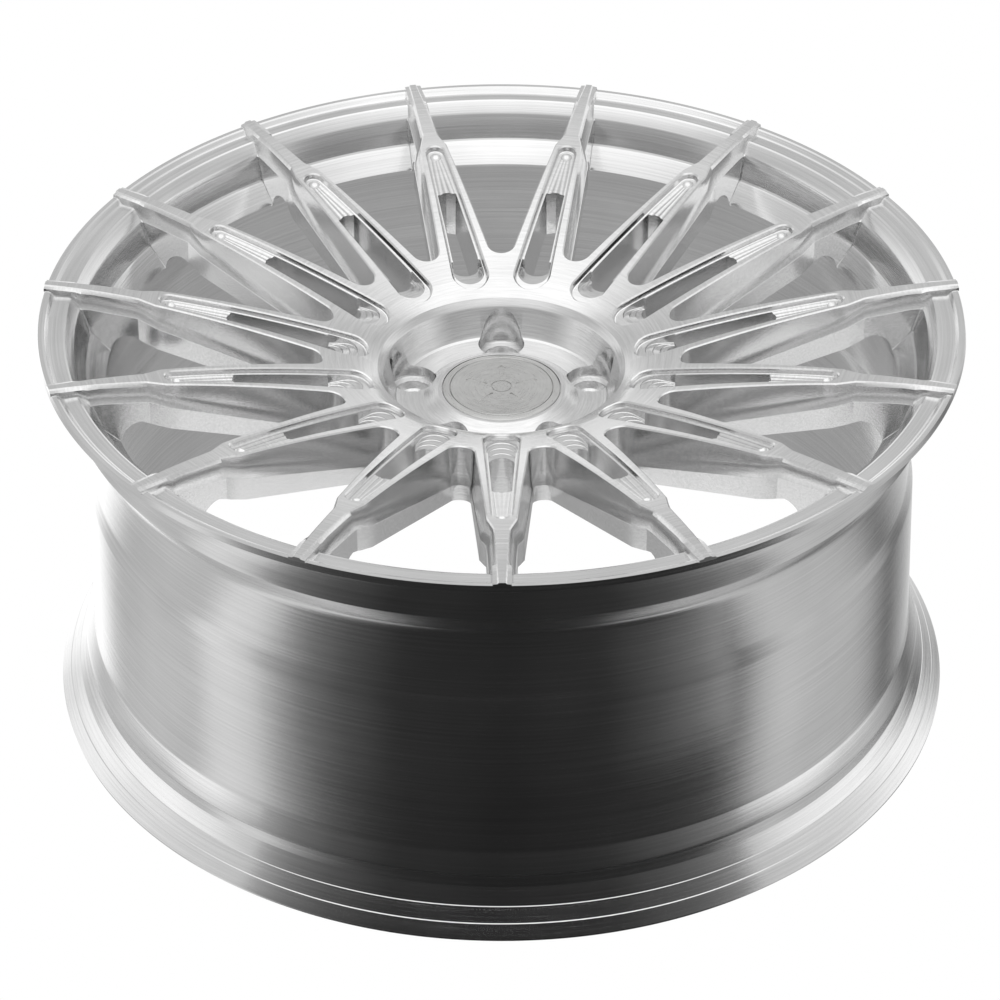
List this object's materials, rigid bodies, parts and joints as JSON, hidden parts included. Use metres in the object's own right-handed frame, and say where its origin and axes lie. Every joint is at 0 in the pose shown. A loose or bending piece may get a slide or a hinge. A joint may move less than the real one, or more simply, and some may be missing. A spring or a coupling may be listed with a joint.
{
  "type": "forged racing wheel rim",
  "caption": "Monoblock forged car wheel rim with long slotted spokes, a dished hub with lug pockets, a push-in centre cap, a spigot ring and a clamp-in tyre valve.",
  "frame": {"origin": "on the wheel's axis, half way between the outboard face plane and the inboard flange face", "axes": "+Z along the wheel's axis, out of the outboard face; +X to the right and +Y up across the face"},
  "size_m": [0.5478, 0.5478, 0.2554],
  "materials": {
    "machined_barrel": "turned and brushed bare aluminium, fine circumferential lines",
    "machined_face": "machined and polished bare aluminium with turning lines",
    "cap_metal": "satin aluminium",
    "spring_steel": "drawn spring wire",
    "black_plastic": "moulded, matte",
    "rubber": "moulded rubber",
    "valve_metal": "turned aluminium",
    "brass": "turned brass"
  },
  "bodies": {
    "wheel": {"barrel": "machined_barrel", "hub": "machined_face", "spoke_01": "machined_face", "spoke_02": "machined_face", "spoke_03": "machined_face", "spoke_04": "machined_face", "spoke_05": "machined_face", "spoke_06": "machined_face", "spoke_07": "machined_face", "spoke_08": "machined_face", "spoke_09": "machined_face", "spoke_10": "machined_face", "spoke_11": "machined_face", "spoke_12": "machined_face", "spoke_13": "machined_face", "spoke_14": "machined_face", "spoke_15": "machined_face", "spigot_ring": "black_plastic", "valve_stem": "valve_metal", "valve_grommet": "rubber", "valve_washer": "valve_metal", "valve_nut": "valve_metal"},
    "cap": {"centre_cap": "cap_metal", "cap_badge": "cap_metal", "cap_spring_ring": "spring_steel"},
    "valve_pin": {"valve_core_pin": "brass"},
    "valve_cap": {"valve_dust_cap": "valve_metal"}
  },
  "joints": [
    {"name": "centre_cap_pull", "type": "slide", "parent": "wheel", "child": "cap", "axis": [0, 0, 1], "range_m": [0, 0.05]},
    {"name": "valve_pin_press", "type": "slide", "parent": "wheel", "child": "valve_pin", "axis": [-0.9606, -0.101, -0.2588], "range_m": [0, 0.0015], "stiffness_N_per_m": 1500, "springref_m": -0.001},
    {"name": "valve_cap_draw_off", "type": "slide", "parent": "wheel", "child": "valve_cap", "axis": [0.9606, 0.101, 0.2588], "range_m": [0, 0.025]}
  ]
}
